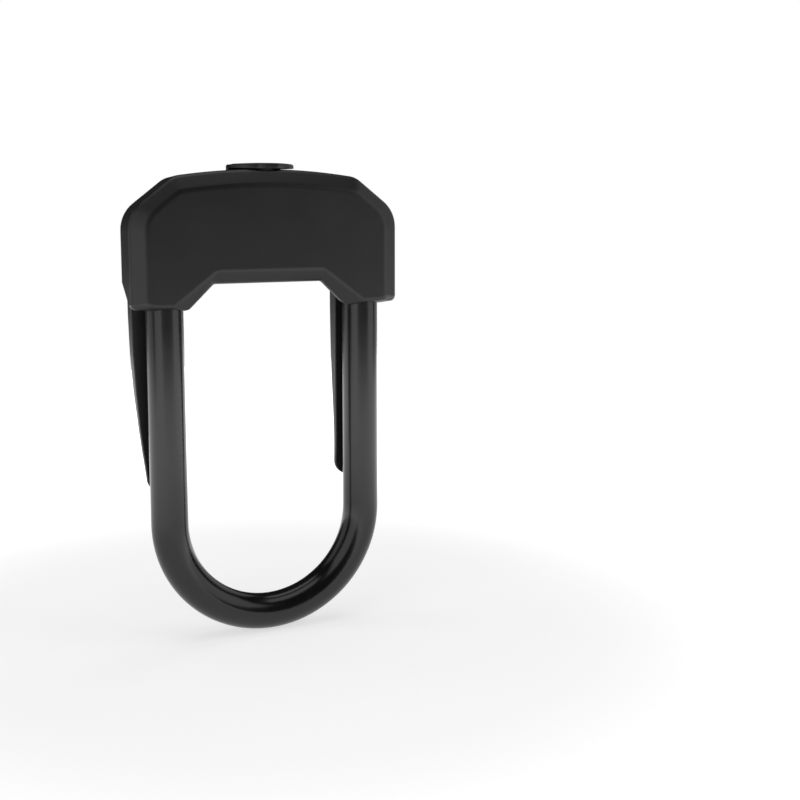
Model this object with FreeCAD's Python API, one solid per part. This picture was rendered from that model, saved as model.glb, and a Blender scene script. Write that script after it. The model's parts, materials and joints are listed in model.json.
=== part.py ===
"""Compact U lock with a belt clip: every piece is its own solid, written to parts/NODE.step.

Millimetres. X runs across the lock, Y from the front face to the back, Z up from the bend of the shackle to
the lock housing. The pieces are laid out with the shackle's axis plane at Y = 0 and its lowest point at Z = 0,
and each is moved back by BOX_MIDDLE when it is saved, so the origin is under the middle of the whole lock.
"""
import FreeCAD
import Part
import math
import os

os.makedirs("parts", exist_ok=True)
V = FreeCAD.Vector
X_AXIS = V(1, 0, 0)
Y_AXIS = V(0, 1, 0)
Z_AXIS = V(0, 0, 1)

# ---- driving dimensions -------------------------------------------------------------------------------
# Shackle
BAR_R = 6.5                 # hardened steel bar, 13 mm
JACKET_R = 7.6              # outside of the moulded jacket
LEG_X = 43.0                # leg centres, and the radius of the bend
BEND_Z = LEG_X + JACKET_R   # height of the bend's centre
LEG_TOP = 176.5             # ends of the bare bar inside the lock body
JACKET_TOP = 150.6
TIP_CHAMFER = 1.2

PAST = 1.0                  # how far a cut runs past the surface it opens

# Housing: depths along Y
FRONT_Y = -9.1              # flat front face
BEVEL_Y = -5.3              # where the front bevel meets the side
SPLIT_Y = 10.5              # joint between front and rear cover
COVER_BACK_Y = 12.9         # back of the rear cover
# Housing: right-hand corners (x, z, radius), from the crown's shoulder down and round to the middle
CROWN = 195.3
SIDE = [(39.6, 192.3, 10.0), (58.0, 178.0, 13.6), (58.0, 139.8, 2.4), (50.0, 138.9, 20.0),
        (34.3, 138.5, 3.0), (23.5, 149.0, 2.4)]
FACE_CROWN = 188.9
FACE = [(38.4, 186.0, 8.0), (51.5, 175.6, 11.0), (51.5, 141.0, 2.2), (48.0, 140.4, 8.0),
        (41.2, 140.2, 3.0), (23.2, 153.8, 4.0)]
DRAFT = 0.7                 # the side walls lean in by this much towards the back
BACK_EASE = 0.6             # inset of the rear cover halfway to its back
BACK_ROUND = 2.0            # inset of the rear cover's rounded back edge
UNDERCUT_LOW = (-2.5, 141.0)    # (y, z) points of the slanted cut under the back of the housing
UNDERCUT_HIGH = (12.5, 151.3)
WAIST_HALF = 36.0           # between the legs only the front skin comes down below the crossbar
WAIST_Y = -3.3
WAIST_Z = 149.0
JACKET_GAP = 0.3            # round the jacket in the housing's legs

# Space inside the covers, which the steel body fills but for BODY_GAP
CAVITY_FRONT_Y = -7.9
CAVITY_BEVEL_Y = -4.3
CAVITY_FLOOR = 151.4
CAVITY_CROWN = 192.4
CAVITY = [(38.9, 189.4, 8.0), (55.6, 176.4, 11.0), (55.6, CAVITY_FLOOR, 1.0)]
CAVITY_FACE_CROWN = 187.8
CAVITY_FACE_FLOOR = 154.6       # higher at the front, where the bevel of the cut-out comes in
CAVITY_FACE = [(38.0, 184.9, 7.0), (50.8, 174.9, 9.0), (50.8, CAVITY_FACE_FLOOR, 1.0)]
BODY_GAP = 0.2
BODY_BACK_Y = 10.2

# Lock mechanism
LOCK_Y = 2.2                # cylinder axis, and the depth of the bolts
LEG_BORE_R = BAR_R + 0.1
LEG_BORE_TOP = 177.5
BOLT_Z = 158.0
BOLT_R = 4.5
BOLT_BORE_R = 4.6
BOLT_TRAVEL = 5.0
BOLT_TIP_X = 36.2           # with the bolts drawn in
BOLT_ROOT_X = 6.5
NOTCH_DEPTH_X = 41.7
NOTCH_HALF = 5.0
DRIVE_R = BOLT_TRAVEL / math.sqrt(2)    # pin circle that gives the travel in a quarter turn
DRIVE_PIN_R = 1.0
DRIVE_PIN_GAP = 0.18
TANG_HALF = 1.5             # half the thickness of a bolt's tang
DRIVER_R = 5.6
DRIVER_T = 2.0
MECHANISM_R = 6.2           # room round the driver
PLUG_X = (50.4, 55.3)       # plugs in the ends of the bolt bore

CYLINDER_R = 7.2
CYLINDER_BOTTOM = 164.0
CYLINDER_TOP = 193.6
CYLINDER_BORE_R = 5.9
CARRIER_R = 5.85
CARRIER_BORE_R = 5.0
CARRIER_FLOOR = 166.6
TAIL_R = 2.6
TAIL_SQUARE = 3.4
DISC_R = 4.95
DISC_T = 1.9
DISC_PITCH = 2.6
DISC_COUNT = 9
SIDE_BAR_R = 0.9
KEYWAY = (6.0, 2.6)
CROSS_PIN_R = 1.4
CROSS_PIN_X = 7.9
CROSS_PIN_Z = 178.0

# Key hole cover on the crown
COLLAR_R = 8.0
COLLAR_TOP = 194.1
BOSS_HALF = 11.5            # half the width over the hinge ears
BOSS_BACK_Y = 13.8
EAR_T = 1.4
HINGE_Y = 12.3
HINGE_Z = 195.75
HINGE_R = 1.55
HINGE_PIN_R = 0.6
CAP_BOTTOM = 195.45
CAP_TOP_FRONT = 197.7
CAP_TOP_BACK = 196.8
CAP_HALF = 13.6
CAP_FRONT_Y = -6.4
CAP_NOSE_Y = 0.4            # where the round front meets the straight sides
CAP_SIDE_Y = 7.0            # where the sides draw in towards the hinge
CAP_BACK_Y = 10.1
CAP_BACK_HALF = 12.6
CAP_RIM = 0.9               # rounding of the cap's upper edge
SCALLOP_R = 17.0
SCALLOP_DEPTH = 1.1
HINGE_GAP = 0.05            # round the pin in the cap's knuckle
KNUCKLE_GAP = 0.2           # between the knuckle and each ear
WEB_ROOT = 2.0              # how far the knuckle's web reaches into the cap

# Belt clip
CLIP_FRONT_Y = COVER_BACK_Y
CLIP_BACK_Y = 18.5
CLIP_CROWN = 191.9
CLIP_SHOULDER = (38.2, 190.2, 6.0)
CLIP_CORNER = (54.0, 176.9, 10.0)
CLIP_OUTER_X = 54.0
TAPER_Z = 136.0             # below this the fingers' outer edges curve in
TAPER_R = 470.0
CLIP_INNER_X = 35.8
CLIP_WINDOW = [(35.8, 149.5, 3.0), (26.5, 155.2, 3.0)]
FINGER_TIP_Z = 61.4
FINGER_TIP_R = 6.6
FINGER_TIP_X = 42.4
LEAN_Z = 152.0              # below this the fingers lean towards the shackle
FINGER_BACK = [(CLIP_BACK_Y, LEAN_Z), (18.3, 132.0), (17.4, 110.0), (15.5, 90.0), (14.8, 78.0),
               (15.0, 69.0), (15.9, 60.0)]
FINGER_STEP = [(CLIP_FRONT_Y, 151.2), (10.0, 149.2)]    # under the slanted cut of the housing
FINGER_FRONT = [(10.0, 149.2), (10.0, 100.0), (9.8, 80.0), (10.3, 70.0), (11.6, 60.0)]
CLIP_BEVEL = 2.0            # of the clip's edges at the back

# Reflective plate on the clip
BASE_T = 0.35
PLATE_T = 0.2
PLATE_INSET = 0.8
BASE_CROWN = 183.7
BASE = [(31.9, 180.7, 2.5), (41.0, 174.0, 2.0), (41.0, 164.2, 3.0)]

# Screws
CLIP_SCREWS = [(30.0, 171.0), (14.0, 178.0)]
CLIP_SCREW_R = 1.5
CLIP_SCREW_TIP_Y = 5.5
CLIP_HEAD_R = 2.7
HEAD_T = 1.5
COVER_SCREW = (47.5, 181.6)
COVER_SCREW_R = 1.1
COVER_BOSS_R = 3.0
COVER_SCREW_TIP_Y = 3.0
COVER_HEAD_R = 2.0

REAR_Y = CLIP_BACK_Y + BASE_T + PLATE_T
BOX_MIDDLE = (FRONT_Y + REAR_Y) / 2


# ---- building blocks ----------------------------------------------------------------------------------
def rod(radius, start, end):
    """A round bar between two points."""
    way = end - start
    return Part.makeCylinder(radius, way.Length, start, way)


def block(low, high):
    """A box between its lowest and highest corners."""
    size = V(*high) - V(*low)
    return Part.makeBox(size.x, size.y, size.z, V(*low))


def mirrored(shape):
    """The same shape on the other side of the lock."""
    return shape.mirror(V(0, 0, 0), X_AXIS)


def corner_arc(before, corner, after, radius):
    """The two tangent points and the middle of the arc that rounds a corner."""
    to_before = (before - corner).normalize()
    to_after = (after - corner).normalize()
    half_angle = to_before.getAngle(to_after) / 2
    reach = radius / math.tan(half_angle)
    bisector = (to_before + to_after).normalize()
    middle = corner + bisector * (radius / math.sin(half_angle) - radius)
    return corner + to_before * reach, middle, corner + to_after * reach


def loop(half, crown, y):
    """A closed wire in the plane at y, the same on both sides.

    half lists the right-hand corners from the crown's shoulder down to the last one beside the middle, each
    with its radius; the top is one shallow arc over the crown.
    """
    corners = [(V(x, y, z), r) for x, z, r in half]
    corners += [(V(-x, y, z), r) for x, z, r in reversed(half)]
    shoulder = corners[0][0]
    rise = crown - shoulder.z
    arch_r = (shoulder.x ** 2 + rise ** 2) / (2 * rise)
    lean = math.asin(shoulder.x / arch_r)
    over_right = shoulder + V(-math.cos(lean), 0, math.sin(lean))
    over_left = V(-over_right.x, y, over_right.z)
    points = [over_right] + [corner for corner, _ in corners] + [over_left]
    arcs = []
    for i, (corner, radius) in enumerate(corners):
        arcs.append(corner_arc(points[i], corner, points[i + 2], radius))
    edges = []
    for i, (start, middle, end) in enumerate(arcs):
        edges.append(Part.Arc(start, middle, end).toShape())
        if i + 1 < len(arcs):
            edges.append(Part.makeLine(end, arcs[i + 1][0]))
    edges.append(Part.Arc(arcs[-1][2], V(0, y, crown), arcs[0][0]).toShape())
    return Part.Wire(edges)


def inset(half, side, top=0.0):
    """The corners moved in from the sides, and down by top."""
    return [(x - side, z - top, r) for x, z, r in half]


def shrunk(half, gap):
    """The corners moved in by gap all round, the last of them being the bottom one."""
    upper = inset(half[:-1], gap, gap)
    x, z, radius = half[-1]
    return upper + [(x - gap, z + gap, radius)]


def between(*wires):
    """A solid with straight walls from each wire to the next."""
    return Part.makeLoft(list(wires), True, True)


def prism(half, crown, y0, y1):
    """A plate of one outline between two depths."""
    return Part.Face(loop(half, crown, y0)).extrude(V(0, y1 - y0, 0))


def save(name, shape):
    """Move a piece into the lock's own frame and write it."""
    moved = shape.copy()
    moved.translate(V(0, -BOX_MIDDLE, 0))
    moved.exportStep("parts/" + name + ".step")


# ---- shackle ------------------------------------------------------------------------------------------
def u_bar(radius, leg_top):
    """A round bar bent into a U, with both legs up to leg_top."""
    bend = Part.makeTorus(LEG_X, radius, V(0, 0, BEND_Z), Y_AXIS)
    lower_half = block((-LEG_X - radius, -radius, 0), (LEG_X + radius, radius, BEND_Z))
    bend = bend.common(lower_half)
    leg = rod(radius, V(LEG_X, 0, BEND_Z), V(LEG_X, 0, leg_top))
    return bend.fuse([leg, mirrored(leg)]).removeSplitter()


def shackle_bar():
    bar = u_bar(BAR_R, LEG_TOP)
    tips = [e for e in bar.Edges if abs(e.CenterOfMass.z - LEG_TOP) < 0.01]
    bar = bar.makeChamfer(TIP_CHAMFER, tips)
    notch = block((LEG_X - BAR_R - PAST, -BAR_R - PAST, BOLT_Z - NOTCH_HALF),
                  (NOTCH_DEPTH_X, BAR_R + PAST, BOLT_Z + NOTCH_HALF))
    return bar.cut([notch, mirrored(notch)])


def shackle_sleeve():
    return u_bar(JACKET_R, JACKET_TOP).cut(u_bar(BAR_R, LEG_TOP))


# ---- housing ------------------------------------------------------------------------------------------
def undercut():
    """Everything below the slanted plane under the back of the housing, and between the legs behind its skin."""
    (y0, z0), (y1, z1) = UNDERCUT_LOW, UNDERCUT_HIGH
    slope = (z1 - z0) / (y1 - y0)
    reach = 12.0
    half_width = 70.0
    deep = z0 - 40.0
    outline = [V(-half_width, y0, z0), V(-half_width, y1 + reach, z1 + reach * slope),
               V(-half_width, y1 + reach, deep), V(-half_width, y0, deep)]
    slant = Part.Face(Part.makePolygon(outline + outline[:1])).extrude(V(2 * half_width, 0, 0))
    waist = block((-WAIST_HALF, WAIST_Y, deep), (WAIST_HALF, y1, WAIST_Z))
    return slant.fuse(waist)


def cavity(gap, back_y):
    """The space inside the covers, or with a gap the steel body that fills it."""
    front = shrunk(CAVITY_FACE, gap)
    full = shrunk(CAVITY, gap)
    bevelled = between(loop(front, CAVITY_FACE_CROWN - gap, CAVITY_FRONT_Y + gap),
                       loop(full, CAVITY_CROWN - gap, CAVITY_BEVEL_Y))
    straight = prism(full, CAVITY_CROWN - gap, CAVITY_BEVEL_Y, back_y)
    return bevelled.fuse(straight).removeSplitter()


def leg_hole():
    """Room for the right-hand leg: the jacket and its seal up to the floor, the bare bar above it."""
    floor = V(LEG_X, 0, CAVITY_FLOOR + 0.2)
    jacket = rod(JACKET_R + JACKET_GAP, V(LEG_X, 0, 130), floor)
    return jacket.fuse(rod(BAR_R + JACKET_GAP, floor, V(LEG_X, 0, CAVITY_FACE_FLOOR + PAST)))


def collar_pocket(gap):
    """Where the collar sits in the crown: a round seat with a straight way back to the hinge."""
    seat = rod(COLLAR_R + gap, V(0, LOCK_Y, CAVITY_CROWN - PAST), V(0, LOCK_Y, CROWN + PAST))
    way = block((-COLLAR_R - gap, LOCK_Y, CAVITY_CROWN - PAST), (COLLAR_R + gap, SPLIT_Y + PAST, CROWN + PAST))
    return seat.fuse(way)


def screw_holes(places, radius, y0, y1):
    """Round holes along Y at each (x, z), on both sides."""
    holes = []
    for x, z in places:
        hole = rod(radius, V(x, y0, z), V(x, y1, z))
        holes += [hole, mirrored(hole)]
    return holes


def front_cover():
    bevelled = between(loop(FACE, FACE_CROWN, FRONT_Y), loop(SIDE, CROWN, BEVEL_Y))
    sides = between(loop(SIDE, CROWN, BEVEL_Y), loop(inset(SIDE, DRAFT, DRAFT), CROWN - DRAFT, SPLIT_Y))
    shell = bevelled.fuse(sides)
    shell = shell.cut([cavity(0, SPLIT_Y + PAST), undercut()])
    boss = rod(COVER_BOSS_R, V(COVER_SCREW[0], CAVITY_BEVEL_Y, COVER_SCREW[1]),
               V(COVER_SCREW[0], SPLIT_Y, COVER_SCREW[1]))
    shell = shell.fuse([boss, mirrored(boss)])
    shell = shell.cut([leg_hole(), mirrored(leg_hole()), collar_pocket(0.1)])
    return shell.cut(screw_holes([COVER_SCREW], COVER_SCREW_R, COVER_SCREW_TIP_Y, SPLIT_Y + PAST))


def rear_cover():
    eased = DRAFT + BACK_EASE
    edge = DRAFT + BACK_ROUND
    middle_y = (SPLIT_Y + COVER_BACK_Y) / 2
    plate = between(loop(inset(SIDE, DRAFT, DRAFT), CROWN - DRAFT, SPLIT_Y),
                    loop(inset(SIDE, eased, eased), CROWN - eased, middle_y),
                    loop(inset(SIDE, edge, edge), CROWN - edge, COVER_BACK_Y))
    hinge_notch = block((-BOSS_HALF - 0.1, SPLIT_Y - PAST, CLIP_CROWN - 0.1),
                        (BOSS_HALF + 0.1, COVER_BACK_Y + PAST, CROWN + PAST))
    plate = plate.cut([undercut(), hinge_notch])
    plate = plate.cut(screw_holes(CLIP_SCREWS, CLIP_SCREW_R, SPLIT_Y - PAST, COVER_BACK_Y + PAST))
    plate = plate.cut(screw_holes([COVER_SCREW], COVER_SCREW_R, SPLIT_Y - PAST, COVER_BACK_Y + PAST))
    return plate.cut(screw_holes([COVER_SCREW], COVER_HEAD_R, COVER_BACK_Y - HEAD_T, COVER_BACK_Y + PAST))


def crossbar_body():
    body = cavity(BODY_GAP, BODY_BACK_Y)
    leg_bore = rod(LEG_BORE_R, V(LEG_X, 0, CAVITY_FLOOR), V(LEG_X, 0, LEG_BORE_TOP))
    bolt_bore = rod(BOLT_BORE_R, V(-60, LOCK_Y, BOLT_Z), V(60, LOCK_Y, BOLT_Z))
    mechanism = rod(MECHANISM_R, V(0, LOCK_Y, BOLT_Z - TANG_HALF - PAST), V(0, LOCK_Y, CYLINDER_BOTTOM))
    cylinder_bore = rod(CYLINDER_R, V(0, LOCK_Y, CYLINDER_BOTTOM), V(0, LOCK_Y, CROWN))
    cross_hole = rod(CROSS_PIN_R, V(CROSS_PIN_X, -4, CROSS_PIN_Z),
                     V(CROSS_PIN_X, BODY_BACK_Y + PAST, CROSS_PIN_Z))
    boss_room = screw_holes([COVER_SCREW], COVER_BOSS_R + 0.2, CAVITY_FRONT_Y, BODY_BACK_Y + PAST)
    body = body.cut([leg_bore, mirrored(leg_bore), bolt_bore, mechanism, cylinder_bore, cross_hole])
    body = body.cut(boss_room)
    return body.cut(screw_holes(CLIP_SCREWS, CLIP_SCREW_R, CLIP_SCREW_TIP_Y, BODY_BACK_Y + PAST))


def bore_plug():
    """Pressed into the right-hand end of the bolt bore."""
    return rod(BOLT_BORE_R, V(PLUG_X[0], LOCK_Y, BOLT_Z), V(PLUG_X[1], LOCK_Y, BOLT_Z))


def leg_seal():
    """Rubber ring in the housing's floor, round the right-hand leg."""
    outer = rod(JACKET_R + JACKET_GAP, V(LEG_X, 0, JACKET_TOP + 0.1), V(LEG_X, 0, CAVITY_FLOOR + 0.1))
    return outer.cut(rod(BAR_R + 0.3, V(LEG_X, 0, JACKET_TOP - PAST), V(LEG_X, 0, CAVITY_FLOOR + PAST)))


# ---- bolts and driver ---------------------------------------------------------------------------------
def drive_pin_place(side):
    """Where the pin of the bolt on one side (1 right, -1 left) stands with the bolts drawn in."""
    reach = DRIVE_R / math.sqrt(2)
    return V(-side * reach, LOCK_Y - side * reach, 0)


def right_bolt():
    """Round bolt with a flat forked tang, whose slot takes the drive pin on the front side of the axis."""
    bolt = rod(BOLT_R, V(BOLT_ROOT_X, LOCK_Y, BOLT_Z), V(BOLT_TIP_X, LOCK_Y, BOLT_Z))
    tip = [e for e in bolt.Edges if abs(e.CenterOfMass.x - BOLT_TIP_X) < 0.01]
    bolt = bolt.makeChamfer(0.8, tip)
    pin = drive_pin_place(1)
    tang = block((pin.x - 2.8, LOCK_Y - 4.2, BOLT_Z - TANG_HALF),
                 (BOLT_ROOT_X + 1, LOCK_Y - 0.3, BOLT_Z + TANG_HALF))
    slot_half = DRIVE_PIN_R + DRIVE_PIN_GAP
    slot = block((pin.x - slot_half, LOCK_Y - 6, BOLT_Z - 2), (pin.x + slot_half, LOCK_Y - 1.3, BOLT_Z + 2))
    return bolt.fuse(tang).removeSplitter().cut(slot)


def left_bolt():
    """The right bolt turned half a turn about the cylinder's axis."""
    bolt = right_bolt()
    bolt.rotate(V(0, LOCK_Y, 0), Z_AXIS, 180)
    return bolt


def drive_pin(side):
    foot = drive_pin_place(side)
    z0 = BOLT_Z - TANG_HALF + 0.1
    z1 = BOLT_Z + TANG_HALF + 0.2 + DRIVER_T
    return rod(DRIVE_PIN_R, foot + V(0, 0, z0), foot + V(0, 0, z1))


def driver_plate():
    bottom = BOLT_Z + TANG_HALF + 0.2
    plate = rod(DRIVER_R, V(0, LOCK_Y, bottom), V(0, LOCK_Y, bottom + DRIVER_T))
    half = TAIL_SQUARE / 2
    square = block((-half, LOCK_Y - half, bottom - 1), (half, LOCK_Y + half, bottom + DRIVER_T + PAST))
    return plate.cut([square, drive_pin(1), drive_pin(-1)])


# ---- lock cylinder ------------------------------------------------------------------------------------
def on_axis(radius, z0, z1):
    return rod(radius, V(0, LOCK_Y, z0), V(0, LOCK_Y, z1))


def cross_pin():
    return rod(CROSS_PIN_R, V(CROSS_PIN_X, -4, CROSS_PIN_Z), V(CROSS_PIN_X, BODY_BACK_Y, CROSS_PIN_Z))


def cylinder_body():
    tube = on_axis(CYLINDER_R, CYLINDER_BOTTOM, CYLINDER_TOP)
    return tube.cut([on_axis(CYLINDER_BORE_R, CYLINDER_BOTTOM - PAST, CYLINDER_TOP + PAST), cross_pin()])


def side_bar():
    z0 = CARRIER_FLOOR + 0.3
    z1 = disc_z(DISC_COUNT) - 0.4
    place = V(0, LOCK_Y + CARRIER_R - SIDE_BAR_R, 0)
    return rod(SIDE_BAR_R, place + V(0, 0, z0), place + V(0, 0, z1))


def disc_z(index):
    """Underside of a disc, counted from the bottom of the stack."""
    return CARRIER_FLOOR + 0.2 + index * DISC_PITCH


def disc_carrier():
    """The turning sleeve that holds the discs, with a square tail for the driver."""
    top = disc_z(DISC_COUNT)
    sleeve = on_axis(CARRIER_R, CYLINDER_BOTTOM + 0.1, top)
    tail = on_axis(TAIL_R, BOLT_Z + TANG_HALF + 0.2 + DRIVER_T, CYLINDER_BOTTOM + 1)
    half = TAIL_SQUARE / 2
    square = block((-half, LOCK_Y - half, BOLT_Z + TANG_HALF + 0.2), (half, LOCK_Y + half, CYLINDER_BOTTOM))
    sleeve = sleeve.fuse([tail, square]).cut(on_axis(CARRIER_BORE_R, CARRIER_FLOOR, top + 1))
    bar_slot = block((-SIDE_BAR_R - 0.1, LOCK_Y + CARRIER_BORE_R - PAST, CARRIER_FLOOR),
                     (SIDE_BAR_R + 0.1, LOCK_Y + CARRIER_R + PAST, top - 0.2))
    return sleeve.cut(bar_slot)


def keyway_hole(z0, z1):
    """The half-round slot that a half-round key fits."""
    wide, deep = KEYWAY
    hole = on_axis(wide / 2, z0, z1)
    return hole.cut(block((-wide, LOCK_Y + deep / 2, z0 - 1), (wide, LOCK_Y + wide, z1 + 1)))


def lock_disc(index):
    """One detainer disc, with its true gate at the side bar and a false gate that differs per disc."""
    z0 = disc_z(index)
    disc = on_axis(DISC_R, z0, z0 + DISC_T).cut(keyway_hole(z0 - 1, z0 + DISC_T + PAST))
    gate_r = CARRIER_R - SIDE_BAR_R
    gate = rod(SIDE_BAR_R + 0.08, V(0, LOCK_Y + gate_r, z0 - 1), V(0, LOCK_Y + gate_r, z0 + DISC_T + PAST))
    false_gate = gate.copy()
    false_gate.rotate(V(0, LOCK_Y, 0), Z_AXIS, 40 + 25 * index)
    return disc.cut([gate, false_gate])


def disc_spacers():
    """Thin washers between the discs."""
    washers = []
    thickness = DISC_PITCH - DISC_T - 0.1
    gate = block((-1.2, LOCK_Y + 3.6, CARRIER_FLOOR), (1.2, LOCK_Y + DISC_R + PAST, CYLINDER_TOP))
    for index in range(DISC_COUNT - 1):
        z0 = disc_z(index) + DISC_T + 0.05
        washer = on_axis(DISC_R, z0, z0 + thickness).cut([on_axis(3.4, z0 - 1, z0 + 2), gate])
        washers.append(washer)
    return Part.makeCompound(washers)


def keyway_disc():
    """Hardened disc at the mouth of the cylinder, turned by the key."""
    z0 = disc_z(DISC_COUNT) + 0.1
    z1 = CYLINDER_TOP - 0.2
    return on_axis(CARRIER_R, z0, z1).cut(keyway_hole(z0 - 1, z1 + 1))


# ---- key hole cover -----------------------------------------------------------------------------------
def hinge_rod(radius, x0, x1):
    return rod(radius, V(x0, HINGE_Y, HINGE_Z), V(x1, HINGE_Y, HINGE_Z))


def keyhole_collar():
    """Insert in the crown: a ring round the cylinder, and behind it the boss with the two hinge ears."""
    collar = collar_pocket(0).common(block((-20, -20, CAVITY_CROWN + 0.1), (20, SPLIT_Y, COLLAR_TOP)))
    boss = block((-BOSS_HALF, SPLIT_Y, CLIP_CROWN), (BOSS_HALF, BOSS_BACK_Y, COLLAR_TOP - 0.3))
    bridge = block((-COLLAR_R, SPLIT_Y - PAST, CAVITY_CROWN + 0.1),
                   (COLLAR_R, SPLIT_Y + PAST, COLLAR_TOP - 0.3))
    ear = hinge_rod(HINGE_R, BOSS_HALF - EAR_T, BOSS_HALF)
    ear_foot = block((BOSS_HALF - EAR_T, HINGE_Y - HINGE_R, CLIP_CROWN),
                     (BOSS_HALF, HINGE_Y + HINGE_R - 0.05, HINGE_Z))
    collar = collar.fuse([boss, bridge, ear, ear_foot, mirrored(ear), mirrored(ear_foot)]).removeSplitter()
    return collar.cut([on_axis(CYLINDER_R + 0.1, CLIP_CROWN, CROWN), hinge_rod(HINGE_PIN_R, -20, 20)])


def key_cover():
    """Low cap over the key hole: rounded at the front, with a shallow scallop for a fingernail."""
    half = [(CAP_HALF, CAP_NOSE_Y), (CAP_HALF, CAP_SIDE_Y), (CAP_BACK_HALF, CAP_BACK_Y)]
    corners = [V(x, y, CAP_BOTTOM) for x, y in half]
    corners += [V(-x, y, CAP_BOTTOM) for x, y in reversed(half)]
    nose = Part.Arc(corners[-1], V(0, CAP_FRONT_Y, CAP_BOTTOM), corners[0]).toShape()
    outline = Part.Wire([nose] + [Part.makeLine(a, b) for a, b in zip(corners, corners[1:])])
    cap = Part.Face(outline).extrude(V(0, 0, CAP_TOP_FRONT - CAP_BOTTOM + PAST))
    side_x = -CAP_HALF - PAST
    over_z = CAP_TOP_FRONT + 2 * PAST
    over = [V(side_x, CAP_FRONT_Y, CAP_TOP_FRONT), V(side_x, CAP_BACK_Y, CAP_TOP_BACK),
            V(side_x, CAP_BACK_Y + PAST, over_z), V(side_x, CAP_FRONT_Y - PAST, over_z)]
    over = Part.Face(Part.makePolygon(over + over[:1])).extrude(V(-2 * side_x, 0, 0))
    cap = cap.cut(over)
    rims = [edge for edge in cap.Edges if edge.BoundBox.ZMin > CAP_TOP_BACK - HINGE_GAP]
    cap = cap.makeFillet(CAP_RIM, rims)
    knuckle_half = BOSS_HALF - EAR_T - KNUCKLE_GAP
    knuckle = hinge_rod(HINGE_R, -knuckle_half, knuckle_half)
    web = block((-knuckle_half, CAP_BACK_Y - WEB_ROOT, CAP_BOTTOM), (knuckle_half, HINGE_Y, HINGE_Z + HINGE_R))
    scallop_y = CAP_FRONT_Y + SCALLOP_DEPTH - SCALLOP_R
    scallop = rod(SCALLOP_R, V(0, scallop_y, CAP_BOTTOM - PAST), V(0, scallop_y, CAP_TOP_FRONT + PAST))
    cap = cap.fuse([knuckle, web]).removeSplitter()
    return cap.cut([scallop, hinge_rod(HINGE_PIN_R + HINGE_GAP, -CAP_HALF, CAP_HALF)])


def key_cover_pin():
    return hinge_rod(HINGE_PIN_R, -BOSS_HALF, BOSS_HALF)


def key_cover_seal():
    return on_axis(6.8, COLLAR_TOP + 0.3, CAP_BOTTOM)


# ---- belt clip and reflective plate -------------------------------------------------------------------
def finger_curve(points, x):
    """A smooth curve down through (y, z) points, in a plane across X, that starts off straight down."""
    places = [V(x, y, z) for y, z in points]
    after, last = places[-2:]
    spline = Part.BSplineCurve()
    spline.interpolate(Points=places, InitialTangent=V(0, 0, -1), FinalTangent=(last - after).normalize())
    return spline.toShape()


def clip_side():
    """The clip's depth seen from the side: flat behind the housing, then leaning in and flared at the tip."""
    half_width = 60.0
    x = -half_width
    over_top = CLIP_CROWN + 5
    back_top = V(x, CLIP_BACK_Y, over_top)
    front_top = V(x, CLIP_FRONT_Y, over_top)
    step_top, step_foot = [V(x, y, z) for y, z in FINGER_STEP]
    outline = [Part.makeLine(front_top, back_top), Part.makeLine(back_top, V(x, CLIP_BACK_Y, LEAN_Z)),
               finger_curve(FINGER_BACK, x),
               Part.makeLine(V(x, *FINGER_BACK[-1]), V(x, *FINGER_FRONT[-1])),
               finger_curve(FINGER_FRONT, x), Part.makeLine(step_foot, step_top),
               Part.makeLine(step_top, front_top)]
    return Part.Face(Part.Wire(Part.__sortEdges__(outline))).extrude(V(2 * half_width, 0, 0))


def clip_outline():
    """The inverted U seen from the back, as a face at Y = 0."""
    tip_outer_z = FINGER_TIP_Z + FINGER_TIP_R
    drop = TAPER_Z - tip_outer_z
    tip_outer_x = CLIP_OUTER_X - drop ** 2 / (2 * TAPER_R)
    taper_middle = V(CLIP_OUTER_X - (drop / 2) ** 2 / (2 * TAPER_R), 0, TAPER_Z - drop / 2)
    taper_top = V(CLIP_OUTER_X, 0, TAPER_Z)
    tip_outer = V(tip_outer_x, 0, tip_outer_z)
    tip_inner = V(CLIP_INNER_X, 0, tip_outer_z)
    shoulder = V(CLIP_SHOULDER[0], 0, CLIP_SHOULDER[1])
    corner = V(CLIP_CORNER[0], 0, CLIP_CORNER[1])
    window = [V(x, 0, z) for x, z, _ in CLIP_WINDOW]
    rounds = [corner_arc(V(0, 0, CLIP_CROWN), shoulder, corner, CLIP_SHOULDER[2]),
              corner_arc(shoulder, corner, taper_top, CLIP_CORNER[2]),
              corner_arc(tip_inner, window[0], window[1], CLIP_WINDOW[0][2]),
              corner_arc(window[0], window[1], V(0, 0, window[1].z), CLIP_WINDOW[1][2])]
    half = [Part.Arc(*rounds[0]).toShape(), Part.makeLine(rounds[0][2], rounds[1][0]),
            Part.Arc(*rounds[1]).toShape(), Part.makeLine(rounds[1][2], taper_top),
            Part.Arc(taper_top, taper_middle, tip_outer).toShape(),
            Part.Arc(tip_outer, V(FINGER_TIP_X, 0, FINGER_TIP_Z), tip_inner).toShape(),
            Part.makeLine(tip_inner, rounds[2][0]), Part.Arc(*rounds[2]).toShape(),
            Part.makeLine(rounds[2][2], rounds[3][0]), Part.Arc(*rounds[3]).toShape()]
    other = [mirrored(edge) for edge in half]
    top_start = rounds[0][0]
    top = Part.Arc(V(-top_start.x, 0, top_start.z), V(0, 0, CLIP_CROWN), top_start).toShape()
    sill_end = rounds[3][2]
    sill = Part.makeLine(sill_end, V(-sill_end.x, 0, sill_end.z))
    return Part.Face(Part.Wire(Part.__sortEdges__(half + other + [top, sill])))


def shared(edge, faces, own):
    """Whether an edge also belongs to another of these faces."""
    return any(edge.isSame(other) for face in faces if not face.isSame(own) for other in face.Edges)


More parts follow.
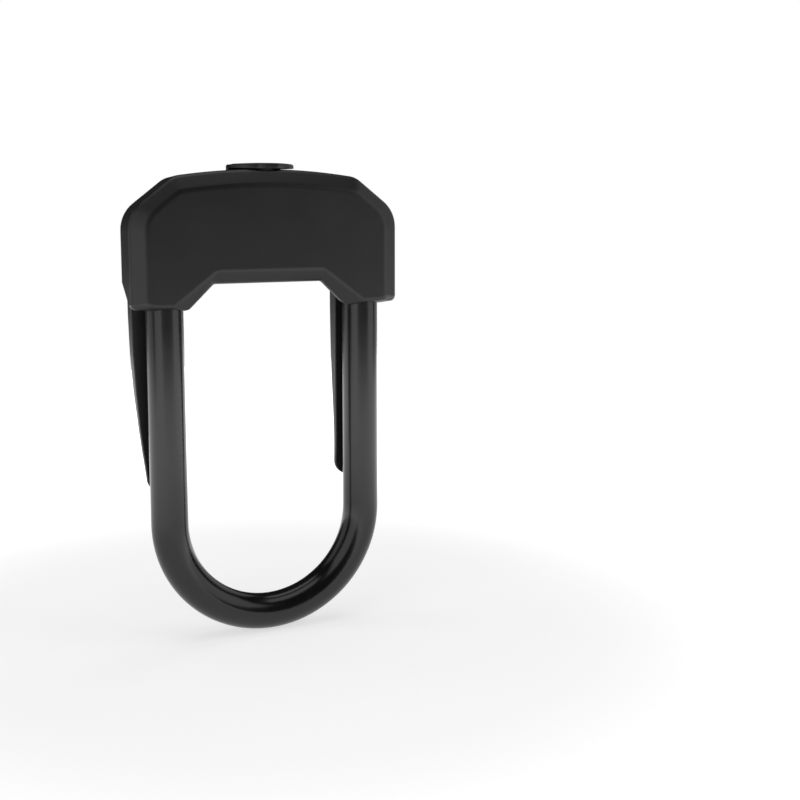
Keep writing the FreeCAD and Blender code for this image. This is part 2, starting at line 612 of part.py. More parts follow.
def clip_frame():
    clip = clip_outline().extrude(V(0, 30, 0)).common(clip_side())
    back = [face for face in clip.Faces if face.normalAt(0, 0).y > 0.5]
    rims = [edge for face in back for edge in face.Edges if not shared(edge, back, face)]
    clip = clip.makeChamfer(CLIP_BEVEL, rims)
    clip = clip.cut(screw_holes(CLIP_SCREWS, CLIP_SCREW_R, COVER_BACK_Y - PAST, CLIP_BACK_Y + PAST))
    return clip.cut(screw_holes(CLIP_SCREWS, CLIP_HEAD_R, CLIP_BACK_Y - HEAD_T, CLIP_BACK_Y + PAST))


def reflector_base():
    return prism(BASE, BASE_CROWN, CLIP_BACK_Y, CLIP_BACK_Y + BASE_T)


def reflector_plate():
    face = [(x - PLATE_INSET, z + (PLATE_INSET if i == len(BASE) - 1 else -PLATE_INSET * 0.9), r)
            for i, (x, z, r) in enumerate(BASE)]
    face[0] = (BASE[0][0] - 0.3, BASE[0][1] - 0.9, BASE[0][2])
    return prism(face, BASE_CROWN - PLATE_INSET, CLIP_BACK_Y + BASE_T, REAR_Y)


# ---- screws -------------------------------------------------------------------------------------------
def screw(place, radius, head_r, head_y, tip_y):
    """A countersunk-style screw along Y, its head's top at head_y."""
    x, z = place
    shank = rod(radius, V(x, tip_y, z), V(x, head_y - HEAD_T / 2, z))
    head = rod(head_r, V(x, head_y - HEAD_T, z), V(x, head_y, z))
    recess = block((x - 0.4, head_y - 0.6, z - 1.4), (x + 0.4, head_y + 1, z + 1.4))
    across = block((x - 1.4, head_y - 0.6, z - 0.4), (x + 1.4, head_y + 1, z + 0.4))
    return shank.fuse(head).removeSplitter().cut([recess, across])


def screw_group(places, radius, head_r, head_y, tip_y):
    screws = []
    for place in places:
        one = screw(place, radius, head_r, head_y, tip_y)
        screws += [one, mirrored(one)]
    return Part.makeCompound(screws)


# ---- every piece --------------------------------------------------------------------------------------
save("shackle_bar", shackle_bar())
save("shackle_sleeve", shackle_sleeve())
save("front_cover", front_cover())
save("rear_cover", rear_cover())
save("crossbar_body", crossbar_body())
save("right_bore_plug", bore_plug())
save("left_bore_plug", mirrored(bore_plug()))
save("right_leg_seal", leg_seal())
save("left_leg_seal", mirrored(leg_seal()))
save("right_bolt", right_bolt())
save("left_bolt", left_bolt())
save("right_drive_pin", drive_pin(1))
save("left_drive_pin", drive_pin(-1))
save("driver_plate", driver_plate())
save("cylinder_body", cylinder_body())
save("cylinder_pin", cross_pin())
save("disc_carrier", disc_carrier())
save("side_bar", side_bar())
save("keyway_disc", keyway_disc())
save("disc_spacers", disc_spacers())
for number in range(DISC_COUNT):
    save("lock_disc_" + str(number + 1), lock_disc(number))
save("keyhole_collar", keyhole_collar())
save("key_cover", key_cover())
save("key_cover_pin", key_cover_pin())
save("key_cover_seal", key_cover_seal())
save("clip_frame", clip_frame())
save("reflector_base", reflector_base())
save("reflector_plate", reflector_plate())
save("clip_screws", screw_group(CLIP_SCREWS, CLIP_SCREW_R, CLIP_HEAD_R, CLIP_BACK_Y, CLIP_SCREW_TIP_Y))
save("cover_screws", screw_group([COVER_SCREW], COVER_SCREW_R, COVER_HEAD_R, COVER_BACK_Y, COVER_SCREW_TIP_Y))
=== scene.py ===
import bmesh
import bpy
import json
import math
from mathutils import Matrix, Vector

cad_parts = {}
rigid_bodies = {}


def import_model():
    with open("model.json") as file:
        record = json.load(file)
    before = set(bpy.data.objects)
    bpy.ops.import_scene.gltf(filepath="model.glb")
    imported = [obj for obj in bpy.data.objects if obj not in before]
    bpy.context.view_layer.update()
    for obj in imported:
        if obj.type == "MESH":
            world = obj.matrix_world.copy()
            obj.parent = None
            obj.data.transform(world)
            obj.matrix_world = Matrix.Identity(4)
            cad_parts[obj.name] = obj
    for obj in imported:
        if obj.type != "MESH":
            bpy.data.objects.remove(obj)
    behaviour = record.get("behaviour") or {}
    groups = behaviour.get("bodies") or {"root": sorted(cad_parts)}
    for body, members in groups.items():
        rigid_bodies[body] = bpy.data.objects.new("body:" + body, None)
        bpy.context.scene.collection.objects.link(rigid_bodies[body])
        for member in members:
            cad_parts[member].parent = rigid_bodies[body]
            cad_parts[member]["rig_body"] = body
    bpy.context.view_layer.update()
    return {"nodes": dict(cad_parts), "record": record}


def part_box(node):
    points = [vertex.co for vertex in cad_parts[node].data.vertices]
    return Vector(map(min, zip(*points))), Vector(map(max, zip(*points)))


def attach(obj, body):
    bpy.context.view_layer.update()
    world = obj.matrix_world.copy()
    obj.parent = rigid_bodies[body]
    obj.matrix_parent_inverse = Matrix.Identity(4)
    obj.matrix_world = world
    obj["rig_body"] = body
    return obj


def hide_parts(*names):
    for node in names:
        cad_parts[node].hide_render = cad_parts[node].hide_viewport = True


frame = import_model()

bpy.ops.object.select_all(action="DESELECT")

MM = 0.001

# ---- light ------------------------------------------------------------------------------------------------
FLOOR_SIZE = 1.7
FLOOR_TONE = 0.9
FLOOR_FADE = (0.12, 0.45)
FLOOR_GLOW = 0.35
ROOM_LIGHT = 0.035
FRONT_ANGLE = 56
BACK_ANGLE = 68
BOX_AWAY = 1.1
BOX_HEIGHT = 0.42
BOX_SIZE = (0.95, 1.1)
FRONT_RADIANCE = 0.95
BACK_RADIANCE = 0.6
OVERHEAD_RADIANCE = 1.15
LIGHT_AIM = (0, 0, 0.10)
OVERHEAD_PLACE = (0, 0, 1.3)
OVERHEAD_SIZE = (1.2, 1.2)
FLOOR_EMISSION = 1.82

AXIS_Y = (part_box("shackle_bar")[0].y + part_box("shackle_bar")[1].y) / 2     # plane of the shackle


# ---- materials ------------------------------------------------------------------------------------------
def colour(hex_code):
    """Linear RGBA of an sRGB hex code."""
    parts = [int(hex_code[i:i + 2], 16) / 255 for i in (1, 3, 5)]
    return [c / 12.92 if c <= 0.04045 else ((c + 0.055) / 1.055) ** 2.4 for c in parts] + [1.0]


def node(tree, kind, settings=(), **inputs):
    """Adds a node with its settings, and sets or links its inputs: a tuple is a node and its output."""
    made = tree.nodes.new(kind)
    for name, value in dict(settings).items():
        setattr(made, name, value)
    for name, value in inputs.items():
        socket = made.inputs[int(name[1:])] if name[0] == "_" else made.inputs[name.replace("_", " ")]
        if isinstance(value, tuple) and isinstance(value[0], bpy.types.Node):
            tree.links.new(value[0].outputs[value[1]], socket)
        else:
            socket.default_value = value
    return made


def material(name):
    """An empty material with its shader, its tree and object coordinates."""
    made = bpy.data.materials.new(name)
    made.use_nodes = True
    tree = made.node_tree
    shader = tree.nodes["Principled BSDF"]
    place = node(tree, "ShaderNodeTexCoord")
    return made, tree, shader, (place, "Object")


def ramp(tree, source, dark, light, low=0.3, high=0.7):
    """A colour that goes from dark to light as the source goes from low to high."""
    made = node(tree, "ShaderNodeValToRGB", Fac=source)
    made.color_ramp.elements[0].position = low
    made.color_ramp.elements[1].position = high
    made.color_ramp.elements[0].color = dark
    made.color_ramp.elements[1].color = light
    return made, "Color"


def spark_nylon(name, dark, light, grain_mm=0.35, depth_mm=0.02, rough=0.38):
    """Glass-filled nylon from a spark-eroded mould: near black, dull, with a fine pebbled skin."""
    made, tree, shader, place = material(name)
    skin = node(tree, "ShaderNodeTexNoise", Vector=place, Scale=1 / (grain_mm * MM), Detail=3.0, Roughness=0.6)
    cloud = node(tree, "ShaderNodeTexNoise", Vector=place, Scale=1 / (18 * MM), Detail=2.0)
    tone = ramp(tree, (cloud, "Fac"), colour(dark), colour(light))
    tree.links.new(tone[0].outputs[tone[1]], shader.inputs["Base Color"])
    gloss = node(tree, "ShaderNodeMapRange", Value=(cloud, "Fac"), _3=rough - 0.04, _4=rough + 0.05)
    tree.links.new(gloss.outputs["Result"], shader.inputs["Roughness"])
    bump = node(tree, "ShaderNodeBump", Strength=0.5, Distance=depth_mm * MM, Height=(skin, "Fac"))
    tree.links.new(bump.outputs["Normal"], shader.inputs["Normal"])
    shader.inputs["IOR"].default_value = 1.5
    return made


def dipped_vinyl(name):
    """PVC jacket drawn over the bar: smooth and glossy, with faint lengthwise waviness and handling haze."""
    made, tree, shader, place = material(name)
    haze = node(tree, "ShaderNodeTexNoise", Vector=place, Scale=1 / (9 * MM), Detail=4.0, Roughness=0.6)
    tone = ramp(tree, (haze, "Fac"), colour("#0b0b0c"), colour("#101011"))
    tree.links.new(tone[0].outputs[tone[1]], shader.inputs["Base Color"])
    gloss = node(tree, "ShaderNodeMapRange", Value=(haze, "Fac"), _3=0.16, _4=0.24)
    tree.links.new(gloss.outputs["Result"], shader.inputs["Roughness"])
    wave = node(tree, "ShaderNodeTexNoise", Vector=place, Scale=1 / (5 * MM), Detail=1.0)
    bump = node(tree, "ShaderNodeBump", Strength=0.15, Distance=0.03 * MM, Height=(wave, "Fac"))
    tree.links.new(bump.outputs["Normal"], shader.inputs["Normal"])
    shader.inputs["IOR"].default_value = 1.53
    return made


def turned_metal(name, dark, light, rough=0.3, ring_mm=0.25):
    """Metal cut on a lathe: fine rings of tool marks and slightly uneven shine."""
    made, tree, shader, place = material(name)
    marks = node(tree, "ShaderNodeTexNoise", Vector=place, Scale=1 / (ring_mm * MM), Detail=2.0)
    stain = node(tree, "ShaderNodeTexNoise", Vector=place, Scale=1 / (6 * MM), Detail=3.0)
    tone = ramp(tree, (stain, "Fac"), colour(dark), colour(light))
    tree.links.new(tone[0].outputs[tone[1]], shader.inputs["Base Color"])
    gloss = node(tree, "ShaderNodeMapRange", Value=(marks, "Fac"), _3=rough - 0.06, _4=rough + 0.08)
    tree.links.new(gloss.outputs["Result"], shader.inputs["Roughness"])
    shader.inputs["Metallic"].default_value = 1.0
    return made


def cast_rubber(name):
    """Moulded nitrile rubber: soft black with a dusty, uneven dullness."""
    made, tree, shader, place = material(name)
    dust = node(tree, "ShaderNodeTexNoise", Vector=place, Scale=1 / (1.5 * MM), Detail=4.0)
    tone = ramp(tree, (dust, "Fac"), colour("#111111"), colour("#1b1b1b"))
    tree.links.new(tone[0].outputs[tone[1]], shader.inputs["Base Color"])
    shader.inputs["Roughness"].default_value = 0.75
    return made


def reflective_film(name):
    """Grey retroreflective film: faint sideways brushing and tiny bright and dark specks of its glass beads."""
    made, tree, shader, place = material(name)
    stretch = node(tree, "ShaderNodeMapping", Vector=place, Scale=(0.12, 1.0, 1.0))
    brushed = node(tree, "ShaderNodeTexNoise", Vector=(stretch, "Vector"), Scale=1 / (0.8 * MM), Detail=3.0)
    beads = node(tree, "ShaderNodeTexNoise", Vector=place, Scale=1 / (0.5 * MM), Detail=2.0)
    both = node(tree, "ShaderNodeMix", Factor=0.5, A=(brushed, "Fac"), B=(beads, "Fac"))
    tone = ramp(tree, (both, "Result"), colour("#3a3a3a"), colour("#5a5a5a"), 0.35, 0.65)
    tree.links.new(tone[0].outputs[tone[1]], shader.inputs["Base Color"])
    gloss = node(tree, "ShaderNodeMapRange", Value=(beads, "Fac"), _3=0.32, _4=0.5)
    tree.links.new(gloss.outputs["Result"], shader.inputs["Roughness"])
    return made


def printed_edge(name):
    """Pale sealed edge of the film, screen printed: slightly chalky grey."""
    made, tree, shader, place = material(name)
    ink = node(tree, "ShaderNodeTexNoise", Vector=place, Scale=1 / (0.6 * MM), Detail=2.0)
    tone = ramp(tree, (ink, "Fac"), colour("#a4a4a4"), colour("#b4b4b4"))
    tree.links.new(tone[0].outputs[tone[1]], shader.inputs["Base Color"])
    shader.inputs["Roughness"].default_value = 0.5
    return made


housing_nylon = spark_nylon("spark_textured_nylon_housing", "#0e0e0e", "#111111")
clip_nylon = spark_nylon("spark_textured_nylon_clip", "#0f0f0f", "#121212", grain_mm=0.4)
cap_nylon = spark_nylon("moulded_nylon_cap", "#141414", "#181818", grain_mm=0.3, rough=0.36)
vinyl = dipped_vinyl("drawn_vinyl_jacket")
bar_steel = turned_metal("hardened_steel_bar", "#a6a7a9", "#bdbec0", 0.28)
black_steel = turned_metal("black_oxide_steel", "#2a2a2c", "#363638", 0.42)
bolt_steel = turned_metal("turned_steel_bolts", "#b4b4b6", "#c9c9ca", 0.25)
brass = turned_metal("turned_brass_cylinder", "#b08d4f", "#c9a766", 0.3)
bright_steel = turned_metal("ground_steel_keyway", "#bcbcbe", "#d0d0d2", 0.2)
screw_steel = turned_metal("blackened_screw_steel", "#38383a", "#48484a", 0.4)
rubber = cast_rubber("moulded_nitrile_rubber")
film = reflective_film("reflective_film")
film_edge = printed_edge("printed_film_edge")

FINISHES = {
    "painted_housing": housing_nylon, "clip_plastic": clip_nylon, "jacket": vinyl, "bar_steel": bar_steel,
    "body_steel": black_steel, "bolt_steel": bolt_steel, "cylinder_brass": brass, "keyway_steel": bright_steel,
    "cap_plastic": cap_nylon, "seal_rubber": rubber, "screw_steel": screw_steel, "reflector_border": film_edge,
    "reflector_film": film,
}
for part in frame["record"]["subparts"]:
    frame["nodes"][part["node"]].material_slots[0].material = FINISHES[part["material_slot"]]


# ---- outlines of the mouldings (mm, seen along Y) ------------------------------------------------------
CROWN = 195.3
SIDE = [(39.6, 192.3, 10.0), (58.0, 178.0, 13.6), (58.0, 139.8, 2.4), (50.0, 138.9, 20.0),
        (34.3, 138.5, 3.0), (23.5, 149.0, 2.4)]
FACE_CROWN = 188.9
FACE = [(38.4, 186.0, 8.0), (51.5, 175.6, 11.0), (51.5, 141.0, 2.2), (48.0, 140.4, 8.0),
        (41.2, 140.2, 3.0), (23.2, 153.8, 4.0)]
SKIN = 0.04                 # the rounded shells lie this far inside the solid ones they stand for
DRAFT = 0.7
BACK_ROUND = 2.0
UNDERCUT = ((-2.5, 141.0), (12.5, 151.3))       # (y, z) points of the slanted cut below
CLIP_CROWN = 191.9
CLIP = [(38.2, 190.2, 6.0), (54.0, 176.9, 10.0)]
CLIP_TAPER = [(54.0, 136.0), (53.73, 120.0), (52.9, 104.0), (51.6, 88.0), (50.75, 80.0)]
CLIP_FOOT = (54.0, 100.0, 0.01)                 # stands in for the finger until the taper takes its place
CLIP_TIP_Z = 61.4
CLIP_TIP_R = 6.6
CLIP_TIP_X = 49.1           # outer side of the rounded tip
TIP_STEPS = 14
CLIP_WINDOW = [(35.8, 149.5, 3.0), (26.5, 155.2, 3.0)]
CORNER_STEPS = 8
ROUND_STEPS = 5


def arc_points(before, corner, after, radius, steps=CORNER_STEPS):
    """Points along the arc that rounds a corner."""
    before, corner, after = (Vector(p) for p in (before, corner, after))
    to_before = (before - corner).normalized()
    to_after = (after - corner).normalized()
    half_angle = to_before.angle(to_after) / 2
    middle = corner + (to_before + to_after).normalized() * (radius / math.sin(half_angle))
    start = corner + to_before * (radius / math.tan(half_angle)) - middle
    end = corner + to_after * (radius / math.tan(half_angle)) - middle
    turn = math.atan2(start.x * end.y - start.y * end.x, start.dot(end))
    made = []
    for i in range(steps + 1):
        c, w = math.cos(turn * i / steps), math.sin(turn * i / steps)
        made.append((middle.x + start.x * c - start.y * w, middle.y + start.x * w + start.y * c))
    return made


def half_outline(half, crown):
    """Right-hand points from the crown's shoulder down the rounded corners, and the crown's arch radius."""
    shoulder = half[0]
    rise = crown - shoulder[1]
    arch = (shoulder[0] ** 2 + rise ** 2) / (2 * rise)
    lean = math.asin(shoulder[0] / arch)
    over = (shoulder[0] - math.cos(lean), shoulder[1] + math.sin(lean))
    way = [over] + [(x, z) for x, z, _ in half] + [(-half[-1][0], half[-1][1])]
    points = []
    for i, (x, z, radius) in enumerate(half):
        points += arc_points(way[i], (x, z), way[i + 2], radius)
    return points, arch


def crown_points(start, crown, arch, count=14):
    """Points of the crown's shallow arch, from the left shoulder to the right one, without its ends."""
    made = []
    for i in range(1, count):
        x = start[0] * (2 * i / count - 1)
        made.append((x, crown - arch + math.sqrt(arch ** 2 - x ** 2)))
    return made


def outline(half, crown):
    """The whole ring: crown, right-hand side, left-hand side."""
    right, arch = half_outline(half, crown)
    left = [(-x, z) for x, z in reversed(right)]
    return crown_points(right[0], crown, arch) + right + left


def rounded_rings(sections, widths):
    """Rings that pass through the sections of (y, points), with the ring at each inner section rounded over.

    A section with a width becomes a short arc of rings, which starts that far before it and ends that far after.
    """
    rings = []
    for i, (y, points) in enumerate(sections):
        width = widths[i]
        if not width:
            rings.append((y, points))
            continue
        before, after = sections[i - 1], sections[i + 1]
        for step in range(ROUND_STEPS + 1):
            t = step / ROUND_STEPS
            made = []
            for a, p, b in zip(before[1], points, after[1]):
                start = Vector((a[0], before[0], a[1]))
                turn = Vector((p[0], y, p[1]))
                end = Vector((b[0], after[0], b[1]))
                start = turn + (start - turn) * min(1, width / max((start - turn).length, 1e-6))
                end = turn + (end - turn) * min(1, width / max((end - turn).length, 1e-6))
                place = start * (1 - t) ** 2 + turn * (2 * t * (1 - t)) + end * t ** 2
                made.append(tuple(place))
            rings.append(made)
    return rings


def inset(half, side):
    """A half outline drawn in and down by the same amount."""
    return [(x - side, z - side, r) for x, z, r in half]


def clip_ring():
    """The inverted U of the clip, seen from the back."""
    inner_x = CLIP_WINDOW[0][0]
    right, arch = half_outline(CLIP + [CLIP_FOOT], CLIP_CROWN)
    right = right[:len(CLIP) * (CORNER_STEPS + 1)] + CLIP_TAPER
    centre = CLIP_TIP_Z + CLIP_TIP_R
    middle_x = (CLIP_TIP_X + inner_x) / 2
    reach = (CLIP_TIP_X - inner_x) / 2
    for i in range(TIP_STEPS + 1):
        turn = math.pi * i / TIP_STEPS
        right.append((middle_x + reach * math.cos(turn), centre - CLIP_TIP_R * math.sin(turn)))
    for i, (x, z, radius) in enumerate(CLIP_WINDOW):
        before = (inner_x, centre) if i == 0 else CLIP_WINDOW[0][:2]
        after = CLIP_WINDOW[1][:2] if i == 0 else (0, z)
        right += arc_points(before, (x, z), after, radius)
    left = [(-x, z) for x, z in reversed(right)]
    return crown_points(right[0], CLIP_CROWN, arch) + right + left


# ---- modelling ------------------------------------------------------------------------------------------
def activate(obj):
    bpy.ops.object.select_all(action="DESELECT")
    obj.select_set(True)
    bpy.context.view_layer.objects.active = obj


def lock_y(y_mm):
    """Depth in metres of a depth that the drawing counts from the shackle's plane."""
    return AXIS_Y + y_mm * MM


def drawn_through(name, rings):
    """A closed solid drawn through rings of points: the first is filled, then extruded ring by ring."""
    rings = [[(x, ring[0], z) for x, z in ring[1]] if isinstance(ring, tuple) else ring for ring in rings]
    bpy.ops.object.select_all(action="DESELECT")
    bpy.ops.mesh.primitive_circle_add(vertices=len(rings[0]), radius=0.05, fill_type="NGON")
    piece = bpy.context.object
    piece.name = piece.data.name = name
    for vertex, (x, y, z) in zip(piece.data.vertices, rings[0]):
        vertex.co = (x * MM, lock_y(y), z * MM)
    order = {i: i for i in range(len(rings[0]))}
    bpy.ops.object.mode_set(mode="EDIT")
    bpy.ops.mesh.select_all(action="SELECT")
    for points in rings[1:]:
        bpy.ops.mesh.extrude_region_move()
        mesh = bmesh.from_edit_mesh(piece.data)
        placed = {}
        for vertex in [v for v in mesh.verts if v.select]:
            source = next(e.other_vert(vertex) for e in vertex.link_edges if not e.other_vert(vertex).select)
            placed[vertex.index] = order[source.index]
            x, y, z = points[placed[vertex.index]]
            vertex.co = (x * MM, lock_y(y), z * MM)
        order = placed
        bmesh.update_edit_mesh(piece.data)
    bpy.ops.mesh.select_all(action="SELECT")
    bpy.ops.mesh.normals_make_consistent(inside=False)
    bpy.ops.object.mode_set(mode="OBJECT")
    return piece


def pick_edges(piece, wanted):
    """In edit mode, selects the edges whose two ends both pass the test."""
    activate(piece)
    bpy.ops.object.mode_set(mode="EDIT")
    bpy.ops.mesh.select_mode(type="EDGE")
    bpy.ops.mesh.select_all(action="DESELECT")
    mesh = bmesh.from_edit_mesh(piece.data)
    for edge in mesh.edges:
        edge.select = all(wanted(v.co) for v in edge.verts)
    bmesh.update_edit_mesh(piece.data)


def round_over(piece, wanted, width_mm, segments=4, profile=0.5):
    pick_edges(piece, wanted)
    bpy.ops.mesh.bevel(offset=width_mm * MM, segments=segments, profile=profile, affect="EDGES",
                       clamp_overlap=False, miter_outer="SHARP")
    bpy.ops.object.mode_set(mode="OBJECT")


def at_depth(y_mm):
    return lambda place: abs(place.y - lock_y(y_mm)) < 0.01 * MM


def cut_below(piece):
    """Cuts the piece along the slanted plane below it and closes it."""
    (y0, z0), (y1, z1) = UNDERCUT
    along = Vector((0, y1 - y0, z1 - z0)).normalized()
    normal = Vector((0, -along.z, along.y))
    activate(piece)
    bpy.ops.object.mode_set(mode="EDIT")
    bpy.ops.mesh.select_all(action="SELECT")
    place = Vector((0, lock_y(y0), z0 * MM)) + normal * SKIN * MM
    bpy.ops.mesh.bisect(plane_co=place, plane_no=normal, use_fill=True, clear_inner=True)
    bpy.ops.object.mode_set(mode="OBJECT")


def merged_copy(node_name):
    """A copy of a CAD node with its loose facets joined."""
    source = frame["nodes"][node_name]
    copy = bpy.data.objects.new(node_name + "_copy", source.data.copy())
    bpy.context.scene.collection.objects.link(copy)
    activate(copy)
    bpy.ops.object.mode_set(mode="EDIT")
    bpy.ops.mesh.select_all(action="SELECT")
    bpy.ops.mesh.remove_doubles(threshold=0.002 * MM)
    bpy.ops.object.mode_set(mode="OBJECT")
    return copy


def hollowed_like(piece, node_name):
    """Keeps of the piece only what the CAD node also fills, which gives it the node's hollows and holes."""
    tool = merged_copy(node_name)
    activate(piece)
    cut = piece.modifiers.new("hollow", "BOOLEAN")
    cut.operation = "INTERSECT"
    cut.solver = "EXACT"
    cut.object = tool
    bpy.ops.object.modifier_apply(modifier=cut.name)
    bpy.data.objects.remove(tool)


def finish_piece(piece, node_name, angle=30):
    """Smooth shading that keeps the flats flat, then the piece takes the CAD node's place."""
    activate(piece)
    bpy.ops.object.shade_smooth_by_angle(angle=math.radians(angle))
    even = piece.modifiers.new("even", "WEIGHTED_NORMAL")
    even.keep_sharp = True
    even.weight = 100
    bpy.ops.object.modifier_apply(modifier=even.name)
    slot = next(p["material_slot"] for p in frame["record"]["subparts"] if p["node"] == node_name)
    piece.data.materials.clear()
    piece.data.materials.append(FINISHES[slot])
    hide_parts(node_name)
    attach(piece, frame["nodes"][node_name]["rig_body"])


# ---- housing covers ---------------------------------------------------------------------------------------
def face_inset(half, crown, amount):
    """An outline drawn in by the same amount towards its middle, for the flat inside a rounded rim."""
    ring = outline(half, crown)
    made = []
    for i, (x, z) in enumerate(ring):
        before, after = Vector(ring[i - 1]), Vector(ring[(i + 1) % len(ring)])
        along = (after - before).normalized()
        made.append((x + along.y * amount, z - along.x * amount))
    return made


FACE_Y = -9.1               # depths of the covers, front to back
SHOULDER_Y = -5.3
SPLIT_Y = 10.5
EASED_Y = 11.7
COVER_BACK_Y = 12.9
FACE_FLAT = 1.5             # width of the band between an edge and the flat that closes the shell
EASE = 0.6
BACK_FLAT = 1.2
FRONT_WIDTHS = [0, 1.3, 1.6, 0.25, 0]           # how far the roundings reach from the edges
REAR_WIDTHS = [0, 0.25, 0.5, 0.6, 0]


def side_ring(amount):
    """The covers' side outline drawn in by an amount."""
    return outline(inset(SIDE, amount), CROWN - amount)


front_shell = drawn_through("front_cover_moulding", rounded_rings([
    (FACE_Y + SKIN, face_inset(FACE, FACE_CROWN, FACE_FLAT)),
    (FACE_Y + SKIN, outline(FACE, FACE_CROWN)),
    (SHOULDER_Y, side_ring(SKIN)),
    (SPLIT_Y - SKIN, side_ring(DRAFT + SKIN)),
    (SPLIT_Y - SKIN, side_ring(DRAFT + EASE)),
], FRONT_WIDTHS))
cut_below(front_shell)
hollowed_like(front_shell, "front_cover")
finish_piece(front_shell, "front_cover")

rear_shell = drawn_through("rear_cover_moulding", rounded_rings([
    (SPLIT_Y + SKIN, side_ring(DRAFT + EASE)),
    (SPLIT_Y + SKIN, side_ring(DRAFT + SKIN)),
    (EASED_Y, side_ring(DRAFT + EASE + SKIN)),
    (COVER_BACK_Y - SKIN, side_ring(DRAFT + BACK_ROUND + SKIN)),
    (COVER_BACK_Y - SKIN, side_ring(DRAFT + BACK_ROUND + BACK_FLAT)),
], REAR_WIDTHS))
cut_below(rear_shell)
hollowed_like(rear_shell, "rear_cover")
finish_piece(rear_shell, "rear_cover")

# ---- belt clip --------------------------------------------------------------------------------------------
CLIP_FRONT = 12.9
CLIP_BACK = 18.5
RIM = 3.2                   # rounding of the clip's edges at the back
CLIP_EASE = 0.5
FINGER_TOP = 152.0          # below this the back face leans forward
STEP_TOP = 151.2            # the front face steps forward between these heights
STEP_BOTTOM = 149.2
FINGER_Y = 10.0
FRONT_ZONE = 14.4           # depth that tells the back face from the front one
FINGER_BACK = [(FINGER_TOP, CLIP_BACK), (132.0, 18.3), (110.0, 17.4), (90.0, 15.5), (78.0, 14.8),
               (69.0, 15.0), (60.0, 15.9)]      # (z, y) down the finger
FINGER_FRONT = [(STEP_BOTTOM, FINGER_Y), (100.0, FINGER_Y), (80.0, 9.8), (70.0, 10.3), (60.0, 11.6)]
LEVELS = [FINGER_TOP, STEP_TOP, 150.2, STEP_BOTTOM] + [148.0 - 4.0 * i for i in range(21)]


def depth_at(curve, z):
    """Depth of a finger's face at a height, from (z, y) points, with smooth turns between them."""
    if z >= curve[0][0]:
        return curve[0][1]
    for i in range(1, len(curve)):
        (z0, y0), (z1, y1) = curve[i - 1], curve[i]
        if z >= z1 or i == len(curve) - 1:
            before = curve[max(i - 2, 0)]
            after = curve[min(i + 1, len(curve) - 1)]
            m0 = (y1 - before[1]) / (z1 - before[0]) if i > 1 else 0.0
            m1 = (after[1] - y0) / (after[0] - z0)
            t = (z - z0) / (z1 - z0)
            span = z1 - z0
            return ((2 * t ** 3 - 3 * t ** 2 + 1) * y0 + (t ** 3 - 2 * t ** 2 + t) * span * m0
                    + (3 * t ** 2 - 2 * t ** 3) * y1 + (t ** 3 - t ** 2) * span * m1)
    return curve[-1][1]


clip = drawn_through("clip_frame_moulding", [(CLIP_FRONT + SKIN, clip_ring()), (CLIP_BACK - SKIN, clip_ring())])
round_over(clip, at_depth(CLIP_BACK - SKIN), RIM, 7)
round_over(clip, at_depth(CLIP_FRONT + SKIN), CLIP_EASE, 3)
activate(clip)
bpy.ops.object.mode_set(mode="EDIT")
for level in LEVELS:
    bpy.ops.mesh.select_all(action="SELECT")
    bpy.ops.mesh.bisect(plane_co=(0, 0, level * MM), plane_no=(0, 0, 1))
bpy.ops.object.mode_set(mode="OBJECT")
for vertex in clip.data.vertices:
    z = vertex.co.z / MM
    if z < FINGER_TOP and vertex.co.y > lock_y(FRONT_ZONE):
        vertex.co.y += (depth_at(FINGER_BACK, z) - CLIP_BACK) * MM
    elif z < STEP_TOP:
        part_way = (STEP_TOP - z) / (STEP_TOP - STEP_BOTTOM)
        slope = CLIP_FRONT + (FINGER_Y - CLIP_FRONT) * part_way
        step = slope if z > STEP_BOTTOM else depth_at(FINGER_FRONT, z)
        vertex.co.y += (step - CLIP_FRONT) * MM
finish_piece(clip, "clip_frame", 35)


# ---- key cap and collar -----------------------------------------------------------------------------------
def softened(node_name, width_mm, segments=3, angle=28):
    """A copy of a CAD node with its facets joined and its sharp edges rounded over."""
    piece = merged_copy(node_name)
    piece.name = piece.data.name = node_name + "_moulding"
    activate(piece)
    piece.data.normals_split_custom_set([(0, 0, 0)] * len(piece.data.loops))
    bpy.ops.object.mode_set(mode="EDIT")
    bpy.ops.mesh.select_all(action="SELECT")
    bpy.ops.mesh.dissolve_limited(angle_limit=math.radians(1.0))
    bpy.ops.object.mode_set(mode="OBJECT")
    rounding = piece.modifiers.new("rounding", "BEVEL")
    rounding.width = width_mm * MM
    rounding.segments = segments
    rounding.limit_method = "ANGLE"
    rounding.angle_limit = math.radians(angle)
    rounding.use_clamp_overlap = False
    rounding.miter_outer = "MITER_ARC"
    bpy.ops.object.modifier_apply(modifier=rounding.name)
    finish_piece(piece, node_name, 25)


softened("key_cover", 0.25)
softened("keyhole_collar", 0.2)


# ---- stage ------------------------------------------------------------------------------------------------
bpy.context.scene.view_settings.view_transform = "Standard"
bpy.ops.mesh.primitive_plane_add(size=FLOOR_SIZE, location=(0, 0, 0))
floor = bpy.context.object
floor.name = "floor"
floor_paint = bpy.data.materials.new("matt_white_floor")
floor_paint.use_nodes = True
floor_tree = floor_paint.node_tree
floor_tree.nodes.remove(floor_tree.nodes["Principled BSDF"])
floor_place = node(floor_tree, "ShaderNodeTexCoord")
floor_reach = node(floor_tree, "ShaderNodeVectorMath", {"operation": "LENGTH"}, _0=(floor_place, "Object"))
floor_fade = node(floor_tree, "ShaderNodeMapRange", {"interpolation_type": "SMOOTHSTEP"},
                  Value=(floor_reach, "Value"), _1=FLOOR_FADE[0], _2=FLOOR_FADE[1], _3=FLOOR_GLOW)
floor_skin = node(floor_tree, "ShaderNodeBsdfDiffuse", Color=(FLOOR_TONE,) * 3 + (1,))
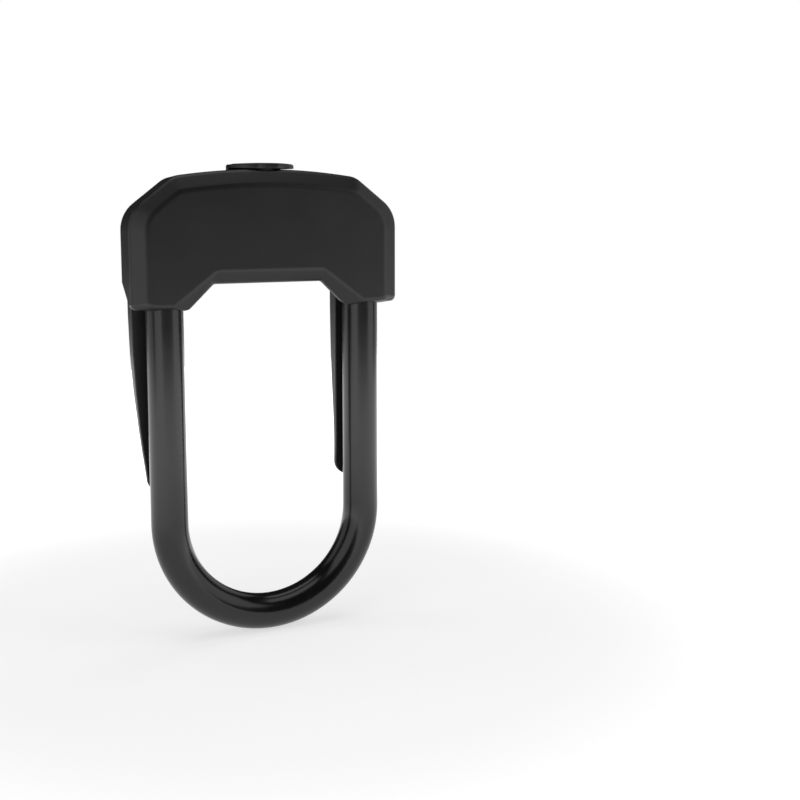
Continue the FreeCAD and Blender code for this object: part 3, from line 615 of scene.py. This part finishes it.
floor_glow = node(floor_tree, "ShaderNodeEmission", Color=(1, 1, 1, 1), Strength=FLOOR_EMISSION)
floor_both = node(floor_tree, "ShaderNodeMixShader", _0=(floor_fade, "Result"), _1=(floor_skin, 0),
                  _2=(floor_glow, 0))
floor_tree.links.new(floor_both.outputs[0], floor_tree.nodes["Material Output"].inputs["Surface"])
floor.data.materials.append(floor_paint)

world = bpy.data.worlds.new("studio")
bpy.context.scene.world = world
world.use_nodes = True
sky = world.node_tree
ray = node(sky, "ShaderNodeLightPath")
room = node(sky, "ShaderNodeBackground", Color=(1, 1, 1, 1), Strength=ROOM_LIGHT)
backdrop = node(sky, "ShaderNodeBackground", Color=(1, 1, 1, 1), Strength=1.0)
both = node(sky, "ShaderNodeMixShader", _0=(ray, "Is Camera Ray"), _1=(room, 0), _2=(backdrop, 0))
sky.links.new(both.outputs[0], sky.nodes["World Output"].inputs["Surface"])


def soft_light(name, place, aim, size, radiance):
    """A soft box: a rectangle of even light, as bright all over as the radiance says."""
    data = bpy.data.lights.new(name, "AREA")
    data.shape = "RECTANGLE"
    data.size, data.size_y = size
    data.energy = radiance * math.pi * size[0] * size[1]
    light = bpy.data.objects.new(name, data)
    bpy.context.scene.collection.objects.link(light)
    light.location = place
    light.rotation_mode = "QUATERNION"
    light.rotation_quaternion = (Vector(aim) - Vector(place)).to_track_quat("-Z", "Y")


for side in (-1, 1):
    for end, angle, radiance in ((-1, FRONT_ANGLE, FRONT_RADIANCE), (1, BACK_ANGLE, BACK_RADIANCE)):
        turn = math.radians(angle)
        soft_light(f"soft_box_{side}_{end}".replace("-", "m"),
                   (side * BOX_AWAY * math.sin(turn), end * BOX_AWAY * math.cos(turn), BOX_HEIGHT),
                   LIGHT_AIM, BOX_SIZE, radiance)
soft_light("overhead", OVERHEAD_PLACE, (0, 0, 0), OVERHEAD_SIZE, OVERHEAD_RADIANCE)


# ---- camera -----------------------------------------------------------------------------------------------
LENS = 57.76425
LENS_SHIFT = -0.018975
CAMERA_PLACE = (-0.1820, -0.510675, 0.1837)
CAMERA_LOOK = (0.4307, 0.8909, -0.1444)
camera_data = bpy.data.cameras.new("camera")
camera_data.sensor_width = 36.0
camera_data.lens = LENS
camera_data.shift_y = LENS_SHIFT
camera = bpy.data.objects.new("camera", camera_data)
bpy.context.scene.collection.objects.link(camera)
bpy.context.scene.camera = camera
camera.location = CAMERA_PLACE
camera.rotation_mode = "QUATERNION"
camera.rotation_quaternion = Vector(CAMERA_LOOK).to_track_quat("-Z", "Y")
